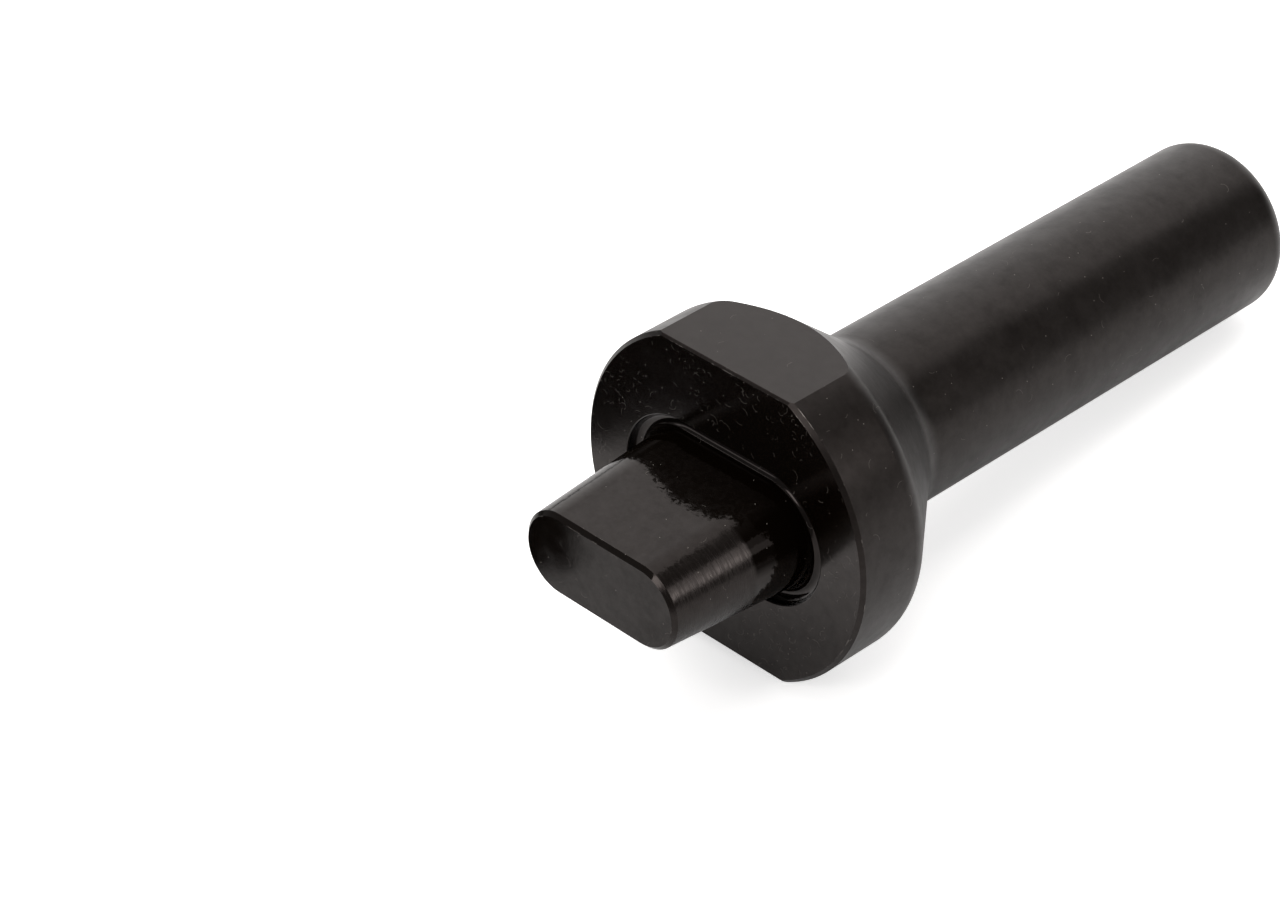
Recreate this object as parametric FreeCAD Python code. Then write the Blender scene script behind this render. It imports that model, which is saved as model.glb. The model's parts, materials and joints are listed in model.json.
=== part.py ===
import FreeCAD, Part
import math
import os

# Grommet setting punch, lying on its lower flat and the end of its shank.
# One piece of steel, turned from round bar, then milled: an oblong tapered nose,
# a curling groove round the root of the nose, a flange with two flats, a cone
# behind the flange and a long plain shank.
# Tool frame while building: the tool axis is Y, the flange face is the plane y = 0,
# the nose points to -Y, the shank to +Y, the flats face up and down.
# Lengths in millimetres, angles in degrees.

# Eyelet that the punch sets
EYELET_LONG = 42.0              # hole of the eyelet, long way
EYELET_WIDE = 22.0              # hole of the eyelet, short way
EYELET_CLEARANCE = 0.4          # each side, between the root of the nose and the hole

# Nose
NOSE_LENGTH = 30.0              # flange face to tip
NOSE_TIP_WIDE = 17.0            # short way, at the tip, before its chamfer
NOSE_CHAMFER = 0.8

# Curling groove
GROOVE_OPENING_WIDE = 27.7      # short way, over the outer wall of the groove
GROOVE_WALL = 0.6               # straight part of the outer wall, above the round bottom
GROOVE_EDGE_BREAK = 0.2         # where the outer wall meets the flange face

# Flange and cone
FLANGE_DIAMETER = 68.0
FLAT_DEPTH = 4.0                # each flat, below the rim: 60 across the two
RIM_LENGTH = 15.0               # cylindrical rim, to the corner with the cone
FLANGE_CHAMFER = 0.75           # all round the front face
RIM_REAR_ROUND = 5.5
CONE_ANGLE = 39.0               # between the cone and the tool axis

# Shank
SHANK_DIAMETER = 35.0
SHANK_END = 140.0               # flange face to the struck end
SHANK_ROOT_FILLET = 8.0         # concave, cone to shank
SHANK_END_ROUND = 5.0           # soft edge of the struck end

# Sizes that follow from those above
flange_radius = FLANGE_DIAMETER / 2.0
flat_height = flange_radius - FLAT_DEPTH
shank_radius = SHANK_DIAMETER / 2.0
end_centre = (EYELET_LONG - EYELET_WIDE) / 2.0
nose_root_radius = EYELET_WIDE / 2.0 - EYELET_CLEARANCE
nose_tip_radius = NOSE_TIP_WIDE / 2.0
nose_taper = math.atan2(nose_root_radius - nose_tip_radius, NOSE_LENGTH - NOSE_CHAMFER)
cone_slope = math.tan(math.radians(CONE_ANGLE))
cone_foot = RIM_LENGTH + (flange_radius - shank_radius) / cone_slope

X_AXIS = FreeCAD.Vector(1, 0, 0)
Y_AXIS = FreeCAD.Vector(0, 1, 0)
ORIGIN = FreeCAD.Vector(0, 0, 0)


# A point of a section: distance along the tool axis, distance out from it
def at(along, out):
    return FreeCAD.Vector(0, along, out)


# A flat section from corners in order, each corner sharp (0) or rounded to its radius
def section_of(corners):
    edges = []
    starts = []
    ends = []
    for index, (corner, radius) in enumerate(corners):
        back = (corners[index - 1][0] - corner).normalize()
        onward = (corners[(index + 1) % len(corners)][0] - corner).normalize()
        half_angle = back.getAngle(onward) / 2.0
        run = radius / math.tan(half_angle)
        starts.append(corner + back * run)
        ends.append(corner + onward * run)
        if radius > 0:
            inward = (back + onward).normalize()
            middle = corner + inward * (radius / math.sin(half_angle) - radius)
            edges.append(Part.Arc(starts[-1], middle, ends[-1]).toShape())
    for index in range(len(corners)):
        edges.append(Part.makeLine(ends[index - 1], starts[index]))
    return Part.Face(Part.Wire(Part.sortEdges(edges)[0]))


# Turned blank: flange, cone and shank from one bar
def turned_blank():
    section = section_of([
        (at(0, 0), 0),
        (at(0, flange_radius), 0),
        (at(RIM_LENGTH, flange_radius), RIM_REAR_ROUND),
        (at(cone_foot, shank_radius), SHANK_ROOT_FILLET),
        (at(SHANK_END, shank_radius), SHANK_END_ROUND),
        (at(SHANK_END, 0), 0),
    ])
    return section.revolve(ORIGIN, Y_AXIS, 360)


# The two flats run over the whole rim and on into the cone, so each ends to the rear
# in the curve where its plane leaves the cone. The chamfer then goes round the front.
def milled_flats(blank):
    slab = Part.makeBox(FLANGE_DIAMETER, cone_foot, flange_radius)
    upper = slab.copy()
    upper.translate(FreeCAD.Vector(-flange_radius, 0, flat_height))
    lower = slab.copy()
    lower.translate(FreeCAD.Vector(-flange_radius, 0, -flat_height - flange_radius))
    milled = blank.cut(upper).cut(lower)
    front = min(milled.Faces, key=lambda face: face.BoundBox.YMax)
    return milled.makeChamfer(FLANGE_CHAMFER, front.OuterWire.Edges)


# A section carried once round the oblong path of the nose: two half turns about
# the end centres and two straight runs between them.
def round_the_nose(section):
    far_side = section.copy()
    far_side.rotate(ORIGIN, Y_AXIS, 180)
    runs = []
    for side, end in ((section, end_centre), (far_side, -end_centre)):
        turn = side.copy()
        turn.translate(X_AXIS * end)
        runs.append(turn.revolve(X_AXIS * end, Y_AXIS, 180))
        straight = side.copy()
        straight.translate(X_AXIS * -end)
        runs.append(straight.extrude(X_AXIS * 2 * end))
    return runs[0].multiFuse(runs[1:]).removeSplitter()


# Nose: tapered on every side, its tip edge chamfered
def nose():
    section = section_of([
        (at(-NOSE_LENGTH, 0), 0),
        (at(-NOSE_LENGTH, nose_tip_radius - NOSE_CHAMFER), 0),
        (at(-NOSE_LENGTH + NOSE_CHAMFER, nose_tip_radius), 0),
        (at(0, nose_root_radius), 0),
        (at(0, 0), 0),
    ])
    return round_the_nose(section)


# Curling groove: the taper of the nose runs on below the flange face and turns, in one
# round bottom, back up the outer wall, which is what rolls the eyelet outwards.
# The bottom radius is the one that touches both the taper and the outer wall.
def curling_groove():
    wall_out = GROOVE_OPENING_WIDE / 2.0
    cosine = math.cos(nose_taper)
    sine = math.sin(nose_taper)
    root_at_wall = nose_root_radius + GROOVE_WALL * math.tan(nose_taper)
    bottom_radius = (wall_out - root_at_wall) * cosine / (1 + cosine)
    centre_out = wall_out - bottom_radius
    leave_nose = at(GROOVE_WALL + bottom_radius * sine, centre_out - bottom_radius * cosine)
    deepest = at(GROOVE_WALL + bottom_radius, centre_out)
    meet_wall = at(GROOVE_WALL, wall_out)
    wall_top = at(GROOVE_EDGE_BREAK, wall_out)
    break_out = at(0, wall_out + GROOVE_EDGE_BREAK)
    root = at(0, nose_root_radius)
    edges = [
        Part.makeLine(root, leave_nose),
        Part.Arc(leave_nose, deepest, meet_wall).toShape(),
        Part.makeLine(meet_wall, wall_top),
        Part.makeLine(wall_top, break_out),
        Part.makeLine(break_out, root),
    ]
    return round_the_nose(Part.Face(Part.Wire(edges)))


# At rest the tool touches the floor at the rear of its lower flat and under the soft
# edge of the shank end; the floor line is tangent to that edge.
def laid_down(punch):
    flat_rear = RIM_LENGTH + (flange_radius - flat_height) / cone_slope
    reach = SHANK_END - SHANK_END_ROUND - flat_rear
    rise = flat_height - (shank_radius - SHANK_END_ROUND)
    tilt = math.atan2(rise, reach) - math.asin(SHANK_END_ROUND / math.hypot(reach, rise))
    resting = punch.copy()
    resting.rotate(ORIGIN, X_AXIS, -math.degrees(tilt))
    box = resting.optimalBoundingBox(False)
    resting.translate(FreeCAD.Vector(-box.Center.x, -box.Center.y, -box.ZMin))
    return resting


body = milled_flats(turned_blank()).cut(curling_groove())
punch = body.fuse(nose()).removeSplitter()
laid_down(punch.Solids[0]).exportStep("parts/setting_punch.step")
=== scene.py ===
import bpy
import json
import math
from mathutils import Matrix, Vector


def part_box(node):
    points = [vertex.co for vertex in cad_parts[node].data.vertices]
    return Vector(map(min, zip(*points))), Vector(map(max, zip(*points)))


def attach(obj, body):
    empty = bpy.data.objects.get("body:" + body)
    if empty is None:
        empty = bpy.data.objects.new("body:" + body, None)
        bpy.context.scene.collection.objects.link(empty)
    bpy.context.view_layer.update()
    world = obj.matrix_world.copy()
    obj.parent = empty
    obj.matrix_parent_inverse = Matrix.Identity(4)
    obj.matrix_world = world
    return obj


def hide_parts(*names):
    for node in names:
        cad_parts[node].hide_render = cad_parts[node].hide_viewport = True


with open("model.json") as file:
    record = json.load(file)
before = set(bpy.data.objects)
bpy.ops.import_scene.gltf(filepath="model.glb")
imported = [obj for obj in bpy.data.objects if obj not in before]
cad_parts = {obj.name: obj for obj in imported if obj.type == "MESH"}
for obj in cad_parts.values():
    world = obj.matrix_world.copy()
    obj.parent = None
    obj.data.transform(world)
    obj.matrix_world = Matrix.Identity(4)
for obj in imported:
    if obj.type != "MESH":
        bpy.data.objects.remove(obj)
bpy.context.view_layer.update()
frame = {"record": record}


# Camera
# A long lens, well above the tool and to the right of its nose, with a slight roll. The tool
# lies off the middle of the picture, to the right.
camera_data = bpy.data.cameras.new("camera")
camera_data.sensor_width = 36.0
camera_data.lens = 106.97
camera_data.clip_start = 0.01
camera_data.clip_end = 20.0
camera = bpy.data.objects.new("camera", camera_data)
camera.location = (0.37794, -0.40081, 0.46330)
camera.rotation_euler = tuple(math.radians(turn) for turn in (50.7736, 4.4418, 45.3982))
bpy.context.scene.collection.objects.link(camera)
bpy.context.scene.camera = camera
bpy.context.scene.view_settings.view_transform = "Standard"


# Studio
# A white floor in a dim room, with soft boxes overhead, in front and to the rear right, and a
# tall white wall to the rear left. Black steel shows little else than what it mirrors.
FLOOR_HALF_WIDTH = 5.0
FLOOR_LIFT_SEEN = 0.60
FLOOR_LIFT_MIRRORED = 0.10
ROOM_LEVEL = 0.30

# The camera and mirror-like steel see the floor brighter than it lights the tool
floor_paint = bpy.data.materials.new("white_floor")
floor_paint.use_nodes = True
nodes = floor_paint.node_tree.nodes
links = floor_paint.node_tree.links
paint = nodes["Principled BSDF"]
paint.inputs["Base Color"].default_value = (0.92, 0.92, 0.92, 1)
paint.inputs["Roughness"].default_value = 1.0
paint.inputs["Specular IOR Level"].default_value = 0.0
paint.inputs["Emission Color"].default_value = (1, 1, 1, 1)
rays = nodes.new("ShaderNodeLightPath")
seen = nodes.new("ShaderNodeMath")
seen.operation = "MULTIPLY"
seen.inputs[1].default_value = FLOOR_LIFT_SEEN
links.new(rays.outputs["Is Camera Ray"], seen.inputs[0])
mirrored = nodes.new("ShaderNodeMath")
mirrored.operation = "MULTIPLY_ADD"
mirrored.inputs[1].default_value = FLOOR_LIFT_MIRRORED
links.new(rays.outputs["Is Glossy Ray"], mirrored.inputs[0])
links.new(seen.outputs[0], mirrored.inputs[2])
links.new(mirrored.outputs[0], paint.inputs["Emission Strength"])

floor_mesh = bpy.data.meshes.new("floor")
floor_corners = [
    (x * FLOOR_HALF_WIDTH, y * FLOOR_HALF_WIDTH, 0) for x, y in ((-1, -1), (1, -1), (1, 1), (-1, 1))
]
floor_mesh.from_pydata(floor_corners, [], [(0, 1, 2, 3)])
floor_mesh.materials.append(floor_paint)
floor = bpy.data.objects.new("floor", floor_mesh)
bpy.context.scene.collection.objects.link(floor)

room = bpy.data.worlds.new("room")
room.use_nodes = True
bpy.context.scene.world = room
nodes = room.node_tree.nodes
links = room.node_tree.links
rays = nodes.new("ShaderNodeLightPath")
room_level = nodes.new("ShaderNodeMapRange")
room_level.inputs["To Min"].default_value = ROOM_LEVEL
room_level.inputs["To Max"].default_value = 1.0
links.new(rays.outputs["Is Camera Ray"], room_level.inputs["Value"])
links.new(room_level.outputs["Result"], nodes["Background"].inputs["Strength"])
nodes["Background"].inputs["Color"].default_value = (1, 1, 1, 1)


AIM_HEIGHT = 0.03


# A rectangular soft lamp of a given brightness, white being 1, aimed at the tool
def soft_lamp(name, place, width, height, brightness):
    lamp = bpy.data.lights.new(name, "AREA")
    lamp.shape = "RECTANGLE"
    lamp.size = width
    lamp.size_y = height
    lamp.energy = brightness * math.pi * width * height
    lamp.color = (1.0, 0.97, 0.955)
    holder = bpy.data.objects.new(name, lamp)
    holder.location = place
    aim = -holder.location
    aim.z += AIM_HEIGHT
    holder.rotation_euler = aim.to_track_quat("-Z", "Y").to_euler()
    bpy.context.scene.collection.objects.link(holder)


# A place round the tool: degrees from the front towards the right, distance out, height
def around(azimuth, distance, height):
    turn = math.radians(azimuth)
    return (distance * math.sin(turn), -distance * math.cos(turn), height)


soft_lamp("overhead", (-0.1, 0.0, 1.3), width=1.0, height=1.0, brightness=2.4)
soft_lamp("rear_left_wall", around(-151, 1.3, 0.9), width=2.3, height=1.9, brightness=1.30)
soft_lamp("left_box", around(-82, 0.8, 0.95), width=0.8, height=0.6, brightness=2.0)
soft_lamp("front_box", around(10, 0.8, 0.80), width=0.45, height=0.34, brightness=5.0)
soft_lamp("front_left_strip", around(-43, 1.0, 0.33), width=0.5, height=0.18, brightness=1.8)
soft_lamp("rear_right_box", around(112, 0.43, 0.28), width=0.22, height=0.22, brightness=2.8)
soft_lamp("rear_right_core", around(109, 0.40, 0.20), width=0.15, height=0.09, brightness=3.1)

# A small black flag on the floor, out of the camera's sight, keeps the upper part of the
# flange face and of the nose tip dark. Its outline: distance along it, height.
FLAG_CENTRE = (-0.0588, -0.1032)
FLAG_TURN = math.radians(-53)
FLAG_OUTLINE = (
    (-0.026, 0), (0.026, 0), (0.026, 0.012), (0.038, 0.018), (0.038, 0.045), (-0.026, 0.045),
)

black_cloth = bpy.data.materials.new("black_cloth")
black_cloth.use_nodes = True
cloth = black_cloth.node_tree.nodes["Principled BSDF"]
cloth.inputs["Base Color"].default_value = (0.01, 0.01, 0.01, 1)
cloth.inputs["Roughness"].default_value = 1.0
flag_mesh = bpy.data.meshes.new("black_flag")
flag_corners = [
    (FLAG_CENTRE[0] + along * math.cos(FLAG_TURN), FLAG_CENTRE[1] + along * math.sin(FLAG_TURN), height)
    for along, height in FLAG_OUTLINE
]
flag_mesh.from_pydata(flag_corners, [], [tuple(range(len(FLAG_OUTLINE)))])
flag_mesh.materials.append(black_cloth)
flag = bpy.data.objects.new("black_flag", flag_mesh)
bpy.context.scene.collection.objects.link(flag)
flag.visible_camera = False
flag.visible_diffuse = False
flag.visible_shadow = False


# Punch
# One piece of tool steel, turned from round bar. A cutter that follows an oblong path leaves
# the nose, the curling groove and the flange face; then the rim is chamfered and two flats are
# milled. It is blackened in a hot salt bath and oiled. Lengths are in millimetres.
NOSE_LENGTH = 30.0
NOSE_TIP_RADIUS = 8.5
NOSE_ROOT_RADIUS = 10.6
NOSE_CHAMFER = 0.8
END_CENTRE = 10.0
GROOVE_WALL_RADIUS = 13.85
GROOVE_STRAIGHT = 0.6
GROOVE_LIP_ROUND = 0.25
FLAT_HEIGHT = 30.0
RIM_LENGTH = 15.0
FRONT_CHAMFER = 0.75
FLAT_BREAK = 0.45
RIM_ROUND = 5.5
CONE_ANGLE = math.radians(39)
ROOT_FILLET = 8.0
SHANK_END = 140.0
END_ROUND = 5.0
SOFT_EDGE = 0.15
OVERCUT = 1.0
SHARP_ANGLE = math.radians(16)
TURNED_COLUMNS = 360
PATH_COLUMNS = 254
ROUND_STEPS = 12
AXIS_RADIUS = 0.0001
WELD = 0.001
MILLIMETRE = 0.001

mounts = {mount["name"]: mount for mount in frame["record"]["mounts"]}
punch_low, punch_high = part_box("setting_punch")
flange_radius = (punch_high.x - punch_low.x) / 2 / MILLIMETRE
shank_radius = mounts["shank"]["dims"]["r_mm"]
cone_foot = RIM_LENGTH + (flange_radius - shank_radius) / math.tan(CONE_ANGLE)
taper = (NOSE_ROOT_RADIUS - NOSE_TIP_RADIUS) / (NOSE_LENGTH - NOSE_CHAMFER)
taper_cosine = math.cos(math.atan(taper))
groove_mouth = GROOVE_WALL_RADIUS - NOSE_ROOT_RADIUS - GROOVE_STRAIGHT * taper
groove_round = groove_mouth * taper_cosine / (1 + taper_cosine)
groove_depth = GROOVE_STRAIGHT + groove_round
tool_axis = tuple(mounts["shank"]["axis"])
rest_tilt = -math.asin(tool_axis[2])
struck_end = mounts["struck_end"]["pos_m"]
flange_centre = tuple(
    end - along * SHANK_END * MILLIMETRE for end, along in zip(struck_end, tool_axis)
)

# Every size that the tree works from is a named input of it
drawing = {
    "Flange radius": flange_radius,
    "Rim length": RIM_LENGTH,
    "Rim round": RIM_ROUND,
    "Cone foot": cone_foot,
    "Root fillet": ROOT_FILLET,
    "Shank radius": shank_radius,
    "Shank end": SHANK_END,
    "Shank end round": END_ROUND,
    "Nose end": -NOSE_LENGTH,
    "Nose end cut": -NOSE_LENGTH - OVERCUT,
    "Nose side start": NOSE_CHAMFER - NOSE_LENGTH,
    "Nose tip cut": NOSE_TIP_RADIUS - NOSE_CHAMFER - OVERCUT,
    "Nose tip radius": NOSE_TIP_RADIUS,
    "Nose end centre": END_CENTRE,
    "Groove side": NOSE_ROOT_RADIUS + groove_depth * taper,
    "Groove wall": GROOVE_WALL_RADIUS,
    "Groove lip round": GROOVE_LIP_ROUND,
    "Groove depth": groove_depth,
    "Groove round": groove_round,
    "Soft edge": SOFT_EDGE,
    "Chamfer cut low": flange_radius - FRONT_CHAMFER - OVERCUT,
    "Chamfer cut high": flange_radius + OVERCUT,
    "Chamfer cut rear": FRONT_CHAMFER + OVERCUT,
    "Cut front": -OVERCUT,
    "Flat height": FLAT_HEIGHT,
    "Flat break": FLAT_BREAK,
    "Flat break cut": FLAT_HEIGHT - FLAT_BREAK - OVERCUT,
    "Clear of the bar": flange_radius + END_CENTRE + OVERCUT,
}


# Adds one node, with its settings, and gives each named socket a value, a link or links
def add(tree, kind, settings=None, sockets=None):
    node = tree.nodes.new(kind)
    for name, value in (settings or {}).items():
        setattr(node, name, value)
    for name, value in (sockets or {}).items():
        if isinstance(value, bpy.types.NodeSocket):
            tree.links.new(value, node.inputs[name])
        elif isinstance(value, list):
            for source in value:
                tree.links.new(source, node.inputs[name])
        else:
            node.inputs[name].default_value = value
    return node


# Adds one node and gives its first output
def put(tree, kind, settings=None, sockets=None):
    return add(tree, kind, settings, sockets).outputs[0]


def maths(tree, operation, *values):
    return put(tree, "ShaderNodeMath", {"operation": operation}, dict(enumerate(values)))


# A section drawn from corners (out from the axis, along it, corner radius)
def section(tree, corners, closed):
    index = put(tree, "GeometryNodeInputIndex")
    places = add(tree, "GeometryNodeIndexSwitch", {"data_type": "VECTOR"}, {"Index": index})
    radii = add(tree, "GeometryNodeIndexSwitch", {"data_type": "FLOAT"}, {"Index": index})
    for switch in (places, radii):
        for further in corners[2:]:
            switch.index_switch_items.new()
    for number, (out, along, radius) in enumerate(corners):
        corner = put(tree, "ShaderNodeCombineXYZ", {}, {"X": out, "Y": along})
        tree.links.new(corner, places.inputs[str(number)])
        if isinstance(radius, bpy.types.NodeSocket):
            tree.links.new(radius, radii.inputs[str(number)])
    points = {"Count": len(corners), "Position": places.outputs[0]}
    points = put(tree, "GeometryNodePoints", {}, points)
    curve = put(tree, "GeometryNodePointsToCurves", {}, {"Points": points})
    curve = put(tree, "GeometryNodeSetSplineCyclic", {}, {"Geometry": curve, "Cyclic": closed})
    rounding = {"Curve": curve, "Count": ROUND_STEPS, "Radius": radii.outputs[0]}
    return put(tree, "GeometryNodeFilletCurve", {"mode": "POLY"}, rounding)


# A section turned once about the tool axis, which is Y
def turned(tree, profile, columns):
    axis = {"Resolution": columns, "Radius": AXIS_RADIUS}
    axis = put(tree, "GeometryNodeCurvePrimitiveCircle", {}, axis)
    shell = put(tree, "GeometryNodeCurveToMesh", {}, {"Curve": axis, "Profile Curve": profile})
    shell = put(tree, "GeometryNodeMergeByDistance", {}, {"Geometry": shell, "Distance": WELD})
    return put(tree, "GeometryNodeTransform", {}, {"Geometry": shell, "Rotation": (math.pi / 2, 0, 0)})


making = bpy.data.node_groups.new("making_the_punch", "GeometryNodeTree")
making.interface.new_socket("Geometry", in_out="OUTPUT", socket_type="NodeSocketGeometry")
identifiers = {}
for title in drawing:
    entry = making.interface.new_socket(title, in_out="INPUT", socket_type="NodeSocketFloat")
    identifiers[title] = entry.identifier
size = add(making, "NodeGroupInput").outputs

# The turned bar: from the nose end to the rounded struck end
bar = turned(making, section(making, [
    (0, size["Nose end"], 0),
    (size["Flange radius"], size["Nose end"], 0),
    (size["Flange radius"], size["Rim length"], size["Rim round"]),
    (size["Shank radius"], size["Cone foot"], size["Root fillet"]),
    (size["Shank radius"], size["Shank end"], size["Shank end round"]),
    (0, size["Shank end"], 0),
], False), TURNED_COLUMNS)

# The form cutter: its two halves are drawn apart to the end centres of the oblong path
form_cutter = turned(making, section(making, [
    (size["Nose tip cut"], size["Nose end cut"], 0),
    (size["Clear of the bar"], size["Nose end cut"], 0),
    (size["Clear of the bar"], 0, 0),
    (size["Groove wall"], 0, size["Groove lip round"]),
    (size["Groove wall"], size["Groove depth"], size["Groove round"]),
    (size["Groove side"], size["Groove depth"], size["Groove round"]),
    (size["Nose tip radius"], size["Nose side start"], size["Soft edge"]),
], True), PATH_COLUMNS)
spot = put(making, "GeometryNodeInputPosition")
distances = add(making, "ShaderNodeSeparateXYZ", {}, {"Vector": spot}).outputs
shift = maths(making, "MULTIPLY", maths(making, "SIGN", distances["X"]), size["Nose end centre"])
shift = put(making, "ShaderNodeCombineXYZ", {}, {"X": shift})
form_cutter = put(making, "GeometryNodeSetPosition", {}, {"Geometry": form_cutter, "Offset": shift})

# The cutter that chamfers the front of the rim
chamfer_cutter = turned(making, section(making, [
    (size["Chamfer cut low"], size["Cut front"], 0),
    (size["Chamfer cut high"], size["Cut front"], 0),
    (size["Chamfer cut high"], size["Chamfer cut rear"], 0),
], True), TURNED_COLUMNS)

# The two mills for the flats, each a section drawn across the bar
reach = put(making, "ShaderNodeCombineXYZ", {}, {"X": size["Clear of the bar"]})
back = put(making, "ShaderNodeVectorMath", {"operation": "SCALE"}, {"Vector": reach, "Scale": -1.0})
run = put(making, "GeometryNodeCurvePrimitiveLine", {}, {"Start": back, "End": reach})
mill_section = section(making, [
    (size["Flat break cut"], size["Cut front"], 0),
    (size["Clear of the bar"], size["Cut front"], 0),
    (size["Clear of the bar"], size["Cone foot"], 0),
    (size["Flat height"], size["Cone foot"], 0),
    (size["Flat height"], size["Flat break"], size["Soft edge"]),
], True)
milling = {"Curve": run, "Profile Curve": mill_section, "Fill Caps": True}
lower_mill = put(making, "GeometryNodeCurveToMesh", {}, milling)
laid = {"Geometry": lower_mill, "Rotation": (math.pi / 2, 0, 0)}
lower_mill = put(making, "GeometryNodeTransform", {}, laid)
turned_over = {"Geometry": lower_mill, "Rotation": (0, math.pi, 0)}
upper_mill = put(making, "GeometryNodeTransform", {}, turned_over)

cutters = [form_cutter, chamfer_cutter, lower_mill, upper_mill]
cutting = {"operation": "DIFFERENCE", "solver": "MANIFOLD"}
punch = put(making, "GeometryNodeMeshBoolean", cutting, {"Mesh 1": bar, "Mesh 2": cutters})

bend = put(making, "GeometryNodeInputMeshEdgeAngle")
is_edge = put(making, "FunctionNodeCompare", {"operation": "GREATER_THAN"}, {0: bend, 1: SHARP_ANGLE})
smooth = {"Geometry": punch, "Shade Smooth": True}
punch = put(making, "GeometryNodeSetShadeSmooth", {"domain": "FACE"}, smooth)
creased = {"Geometry": punch, "Selection": is_edge, "Shade Smooth": False}
punch = put(making, "GeometryNodeSetShadeSmooth", {"domain": "EDGE"}, creased)
punch = put(making, "GeometryNodeRealizeInstances", {}, {"Geometry": punch})

# The oxide, the dust on it and the bare steel under it. Distances here are in metres.
OXIDE = (0.0018, 0.0010, 0.0005, 1)
DUST = (0.12, 0.11, 0.10, 1)
BARE_STEEL = (0.30, 0.28, 0.26, 1)
OIL_TINT = (1.0, 0.88, 0.84, 1)
OIL_IOR = 1.38


# Cloudy noise, with so many clouds to the metre
def noise(tree, place, clouds, detail, rough=0.5):
    sockets = {"Vector": place, "Scale": clouds, "Detail": detail, "Roughness": rough}
    return put(tree, "ShaderNodeTexNoise", {}, sockets)


# From one range of a value to another, held at both ends
def ramp(tree, value, start, end, low=0.0, high=1.0):
    sockets = {"Value": value, "From Min": start, "From Max": end, "To Min": low, "To Max": high}
    return put(tree, "ShaderNodeMapRange", {}, sockets)


# One colour over another, by a share from 0 to 1
def blend(tree, share, under, over):
    sockets = {"Factor": share, "A": under, "B": over}
    return add(tree, "ShaderNodeMix", {"data_type": "RGBA"}, sockets).outputs["Result"]


def vectors(tree, operation, first, second):
    return put(tree, "ShaderNodeVectorMath", {"operation": operation}, {0: first, 1: second})


def dot(tree, first, second):
    node = add(tree, "ShaderNodeVectorMath", {"operation": "DOT_PRODUCT"}, {0: first, 1: second})
    return node.outputs["Value"]


PLATES_PER_METRE = 1300.0
WANDERS_PER_METRE = 900.0
PLATE_WANDER = 0.0012


# Small plates of oxide with wandering edges, each tilted a little its own way
def plated(tree, place, normal, tilt):
    wander = add(tree, "ShaderNodeTexNoise", {}, {"Vector": place, "Scale": WANDERS_PER_METRE})
    wandered = {0: wander.outputs["Color"], 1: (PLATE_WANDER,) * 3, 2: place}
    wandered = put(tree, "ShaderNodeVectorMath", {"operation": "MULTIPLY_ADD"}, wandered)
    plates = add(tree, "ShaderNodeTexVoronoi", {}, {"Vector": wandered, "Scale": PLATES_PER_METRE})
    lean = vectors(tree, "SUBTRACT", plates.outputs["Color"], (0.5,) * 3)
    lean = put(tree, "ShaderNodeVectorMath", {"operation": "SCALE"}, {0: lean, "Scale": tilt})
    lean = vectors(tree, "ADD", normal, lean)
    return put(tree, "ShaderNodeVectorMath", {"operation": "NORMALIZE"}, {0: lean})


HAIR_HALF_WIDTH = 0.00003
HAIR_BOW = 1.0
HAIR_SHORTEST = 0.08
HAIR_LONGEST = 0.55
HAIR_SHADE = 0.48
MOST_LEAN = 0.7


# Hairs: the cuts of the surface through thin, slightly bowed discs strewn through space, one
# in each cell, so many cells to the metre. A disc that lies along the surface is left out,
# because it would cut it in a ring.
def hairs(tree, place, face, share, cells):
    strewn = add(tree, "ShaderNodeTexVoronoi", {}, {"Vector": place, "Scale": cells}).outputs
    lie = vectors(tree, "SUBTRACT", strewn["Color"], (0.5,) * 3)
    lie = put(tree, "ShaderNodeVectorMath", {"operation": "NORMALIZE"}, {0: lie})
    aside = dot(tree, vectors(tree, "SUBTRACT", place, strewn["Position"]), lie)
    bow = maths(tree, "MULTIPLY", maths(tree, "POWER", strewn["Distance"], 2.0), HAIR_BOW / cells)
    hair = maths(tree, "COMPARE", aside, bow, HAIR_HALF_WIDTH)
    lot = add(tree, "ShaderNodeTexWhiteNoise", {}, {"Vector": strewn["Position"]}).outputs["Value"]
    half_length = ramp(tree, lot, 0.0, share, HAIR_SHORTEST, HAIR_LONGEST)
    short_of_end = maths(tree, "LESS_THAN", strewn["Distance"], half_length)
    upright = maths(tree, "COMPARE", dot(tree, lie, face), 0.0, MOST_LEAN)
    kept = maths(tree, "LESS_THAN", lot, share)
    for part in (short_of_end, upright, kept, HAIR_SHADE):
        hair = maths(tree, "MULTIPLY", hair, part)
    return hair


SPECKS_PER_METRE = 1100.0
SPECK_SIZE = 0.12


# Specks of dust: the cuts of the surface through small balls
def specks(tree, place, share):
    balls = add(tree, "ShaderNodeTexVoronoi", {}, {"Vector": place, "Scale": SPECKS_PER_METRE}).outputs
    lot = add(tree, "ShaderNodeTexWhiteNoise", {}, {"Vector": balls["Position"]}).outputs["Value"]
    kept = maths(tree, "LESS_THAN", lot, share)
    return maths(tree, "MULTIPLY", maths(tree, "LESS_THAN", balls["Distance"], SPECK_SIZE), kept)


WORN_WIDTH = 0.0002
WORN_PATCHES_PER_METRE = 260.0


# Bare steel in patches along the sharp edges, where a rounded normal leaves that of the face
def worn_edges(tree, place, face):
    rounded = put(tree, "ShaderNodeBevel", {"samples": 6}, {"Radius": WORN_WIDTH})
    edge = ramp(tree, dot(tree, rounded, face), 0.985, 0.95)
    patches = ramp(tree, noise(tree, place, WORN_PATCHES_PER_METRE, 3.0, 0.7), 0.56, 0.66)
    return maths(tree, "MULTIPLY", edge, patches)


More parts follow.
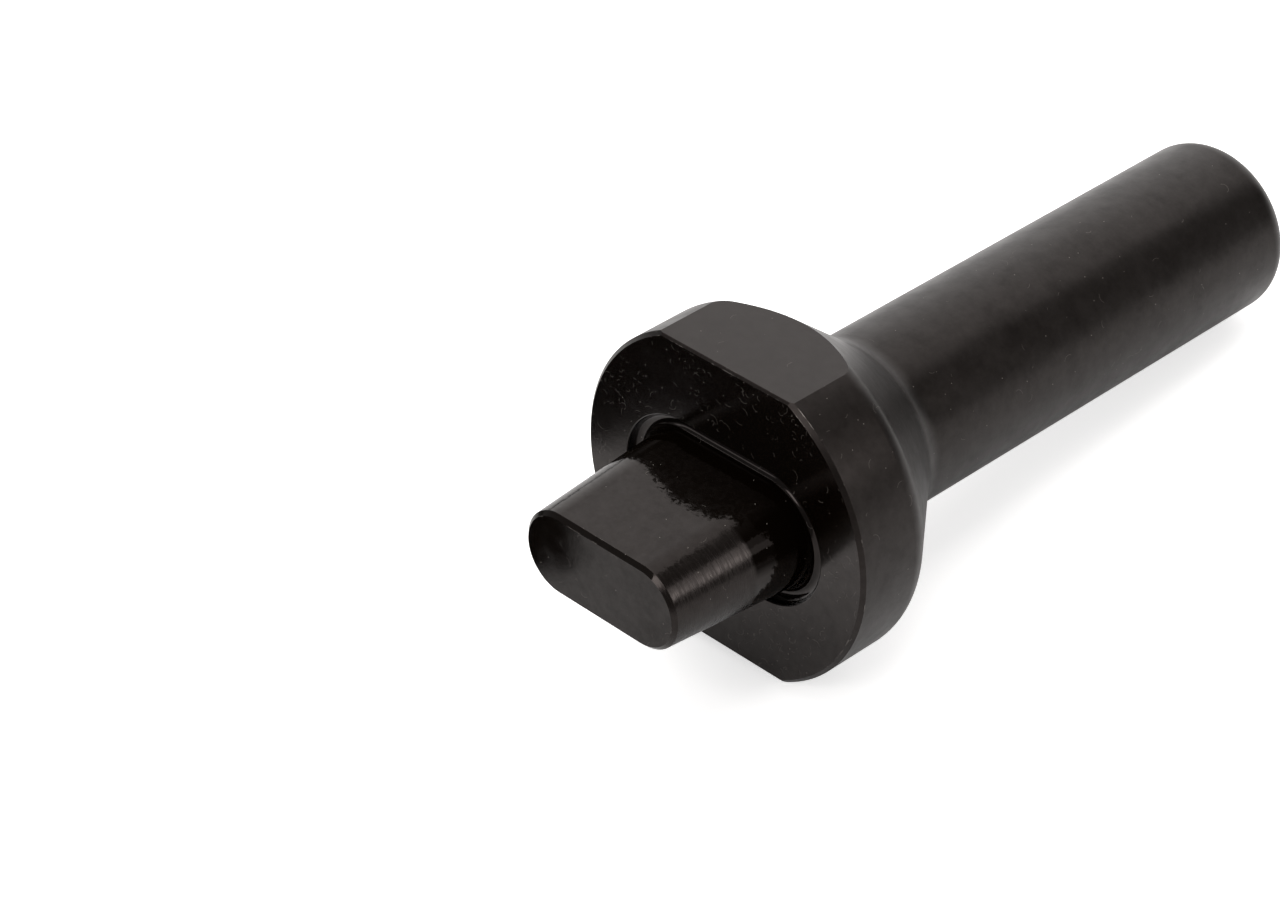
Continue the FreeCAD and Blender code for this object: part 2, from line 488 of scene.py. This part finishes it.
GROUND_REAR = 0.0110
GROUND_FRONT = 0.0118
GROUND_INNER = 0.012
GROUND_OUTER = 0.016
LINE_VALLEY = 0.6
# Painted shade on the upper side of the nose ends: the heights above the nose's middle over which it
# sets in, and how much of the gloss it takes away
PAINTED_SHADE_RISE_START = 0.001
PAINTED_SHADE_RISE_END = 0.003
PAINTED_SHADE_DIMMING = 0.88
tool_upward = (0.0, -tool_axis[2], tool_axis[1])
face_along = sum(place * along for place, along in zip(flange_centre, tool_axis))
face_upward = sum(place * upward for place, upward in zip(flange_centre, tool_upward))


# The half turns of the nose are ground across, up to short of the root; behind that, on
# their upper side, the gloss is turned down: painted shade that darkens the lamp's reflection
# there. Gives the roughness that the grinding adds, and the share of the gloss that this
# painted shade leaves.
def ground_ends(tree, place, line, roughness):
    outward = maths(tree, "ABSOLUTE", put(tree, "ShaderNodeSeparateXYZ", {}, {"Vector": place}))
    outward = ramp(tree, outward, GROUND_INNER, GROUND_OUTER)
    along = dot(tree, place, tool_axis)
    forward = ramp(tree, along, face_along - GROUND_REAR, face_along - GROUND_FRONT)
    across = ramp(tree, line, 0.40, 0.60, LINE_VALLEY * roughness, roughness)
    added = maths(tree, "MULTIPLY", outward, across)
    rear = maths(tree, "SUBTRACT", 1.0, forward)
    upward = dot(tree, place, tool_upward)
    upper = ramp(tree, upward, face_upward + PAINTED_SHADE_RISE_START, face_upward + PAINTED_SHADE_RISE_END)
    # Painted shade: the gloss of the upper side behind the ground zone is turned down
    painted_shade_gloss_share = maths(tree, "MULTIPLY", maths(tree, "MULTIPLY", outward, rear), upper)
    return maths(tree, "MULTIPLY", added, forward), maths(tree, "MULTIPLY_ADD", painted_shade_gloss_share, -PAINTED_SHADE_DIMMING, 1.0)


LINES_PER_METRE = 4200.0
LINE_DEPTH = 0.00001
GRAINS_PER_METRE = 1500.0
GRAIN_DEPTH = 0.000006
HAIRS_PER_METRE = 400.0
TANGLES_PER_METRE = 850.0
TANGLE_PATCHES_PER_METRE = 95.0
OIL_CLOUDS_PER_METRE = 220.0
SHEEN_CLOUDS_PER_METRE = 420.0
STAINS_PER_METRE = 170.0


# Black oxide over steel: nearly no colour of its own, an oiled gloss (level, roughness) that
# is a little cloudy (mottle, stains), and the cutter's fine lines (lines, streaks). On it lie
# hairs and dust (lint, tangles, dust: the share of the places that hold one), and bare steel
# shows where a sharp edge is worn. On the nose the oxide stands in plates, and its ends are
# ground, with painted shade that turns down the gloss of their upper side behind the ground
# zone (plates: how far each is tilted; ends: the roughness that the grinding adds).
def blackened(
        name, level, roughness, lines, streaks, lint, dust, mottle, stains,
        tangles=0.0, plates=0.0, ends=0.0):
    steel = bpy.data.materials.new(name)
    steel.use_nodes = True
    tree = steel.node_tree
    shader = tree.nodes["Principled BSDF"]
    shader.inputs["IOR"].default_value = OIL_IOR
    shader.inputs["Specular Tint"].default_value = OIL_TINT
    place = add(tree, "ShaderNodeTexCoord").outputs["Object"]
    face = add(tree, "ShaderNodeNewGeometry").outputs["Normal"]

    levelled = put(tree, "ShaderNodeMapping", {}, {"Vector": place, "Rotation": (rest_tilt, 0, 0)})
    stretched = put(tree, "ShaderNodeMapping", {}, {"Vector": levelled, "Scale": (0.05, 1, 0.05)})
    line = noise(tree, stretched, LINES_PER_METRE, 2.0)
    normal = put(tree, "ShaderNodeBump", {}, {"Height": line, "Distance": lines * LINE_DEPTH})
    grain = noise(tree, place, GRAINS_PER_METRE, 3.0, 0.6)
    grain = {"Height": grain, "Distance": GRAIN_DEPTH, "Normal": normal}
    normal = put(tree, "ShaderNodeBump", {}, grain)
    if plates:
        normal = plated(tree, place, normal, plates)
    tree.links.new(normal, shader.inputs["Normal"])

    hair = hairs(tree, place, face, lint, HAIRS_PER_METRE)
    dirt = maths(tree, "MAXIMUM", hair, specks(tree, place, dust))
    if tangles:
        tangle = hairs(tree, place, face, tangles, TANGLES_PER_METRE)
        patches = ramp(tree, noise(tree, place, TANGLE_PATCHES_PER_METRE, 2.0), 0.52, 0.56)
        dirt = maths(tree, "MAXIMUM", dirt, maths(tree, "MULTIPLY", tangle, patches))
    bare = worn_edges(tree, place, face)
    colour = blend(tree, dirt, OXIDE, DUST)
    colour = blend(tree, bare, colour, BARE_STEEL)
    tree.links.new(colour, shader.inputs["Base Color"])
    tree.links.new(bare, shader.inputs["Metallic"])

    cloud = noise(tree, place, OIL_CLOUDS_PER_METRE, 4.0, 0.6)
    rough = ramp(tree, cloud, 0.3, 0.7, roughness * (1 - mottle), roughness * (1 + mottle))
    rough = maths(tree, "MULTIPLY", rough, ramp(tree, line, 0.4, 0.6, 1 - streaks * 0.3, 1 + streaks))
    if ends:
        ground, painted_shade_gloss_share = ground_ends(tree, place, line, ends)
        rough = maths(tree, "ADD", rough, ground)
    tree.links.new(rough, shader.inputs["Roughness"])

    cloud = noise(tree, place, SHEEN_CLOUDS_PER_METRE, 5.0, 0.7)
    sheen = ramp(tree, cloud, 0.35, 0.65, level * (1 + mottle), level * (1 - mottle))
    if stains:
        stain = noise(tree, place, STAINS_PER_METRE, 5.0, 0.65)
        stain = ramp(tree, stain, 0.50, 0.66, 1.0, 1 - stains)
        sheen = maths(tree, "MULTIPLY", sheen, stain)
    if ends:
        # Painted shade turns down the gloss of the nose ends' upper side behind the ground zone
        sheen = maths(tree, "MULTIPLY", sheen, painted_shade_gloss_share)
    tree.links.new(sheen, shader.inputs["Specular IOR Level"])
    return steel


turned_steel = blackened(
    "turned_blackened_steel", level=0.39, roughness=0.33, lines=0.05, streaks=0.05,
    lint=0.20, dust=0.05, mottle=0.12, stains=0.18)
milled_steel = blackened(
    "milled_blackened_steel", level=0.43, roughness=0.13, lines=0.40, streaks=0.6,
    lint=0.12, dust=0.03, mottle=0.06, stains=0.0)
groove_steel = blackened(
    "groove_blackened_steel", level=0.38, roughness=0.10, lines=0.05, streaks=0.2,
    lint=0.20, dust=0.10, mottle=0.10, stains=0.0)
faced_steel = blackened(
    "faced_blackened_steel", level=0.58, roughness=0.16, lines=0.10, streaks=0.1,
    lint=0.90, dust=0.14, mottle=0.10, stains=0.15, tangles=0.90)
nose_steel = blackened(
    "nose_blackened_steel", level=0.42, roughness=0.06, lines=0.12, streaks=0.5,
    lint=0.10, dust=0.06, mottle=0.10, stains=0.10, plates=0.03, ends=0.24)
tip_steel = blackened(
    "tip_blackened_steel", level=0.32, roughness=0.13, lines=0.30, streaks=0.3,
    lint=0.30, dust=0.08, mottle=0.15, stains=0.20)

# Each cutter leaves its own finish on what it cut; of these rows, a later one that holds wins
GROOVE_REACH = 25.0
HAIRSBREADTH = 0.01
height = maths(making, "ABSOLUTE", distances["Z"])
from_centre = add(making, "ShaderNodeVectorMath", {"operation": "LENGTH"}, {0: spot}).outputs["Value"]
finishes = (
    (None, turned_steel),
    (maths(making, "GREATER_THAN", height, FLAT_HEIGHT - HAIRSBREADTH), milled_steel),
    (maths(making, "LESS_THAN", from_centre, GROOVE_REACH), groove_steel),
    (maths(making, "LESS_THAN", distances["Y"], HAIRSBREADTH), faced_steel),
    (maths(making, "LESS_THAN", distances["Y"], -HAIRSBREADTH), nose_steel),
    (maths(making, "LESS_THAN", distances["Y"], HAIRSBREADTH - NOSE_LENGTH), tip_steel),
)
for where, steel in finishes:
    sockets = {"Geometry": punch, "Material": steel}
    if where:
        sockets["Selection"] = where
    punch = put(making, "GeometryNodeSetMaterial", {}, sockets)
add(making, "NodeGroupOutput", {}, {"Geometry": punch})

blank = bpy.data.objects.new("blank", bpy.data.meshes.new("blank"))
bpy.context.scene.collection.objects.link(blank)
maker = blank.modifiers.new("making", "NODES")
maker.node_group = making
for title, identifier in identifiers.items():
    maker[identifier] = drawing[title]
evaluated = blank.evaluated_get(bpy.context.evaluated_depsgraph_get())
finished_mesh = bpy.data.meshes.new_from_object(evaluated)
blank.modifiers.remove(maker)
bpy.data.objects.remove(blank)

# From the drawing in millimetres to the tool as it lies on the floor
lean = Matrix.Rotation(-rest_tilt, 4, "X")
finished_mesh.transform(Matrix.Translation(flange_centre) @ lean @ Matrix.Scale(MILLIMETRE, 4))
finished = bpy.data.objects.new("grommet_setting_punch", finished_mesh)
bpy.context.scene.collection.objects.link(finished)
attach(finished, "root")
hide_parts("setting_punch")
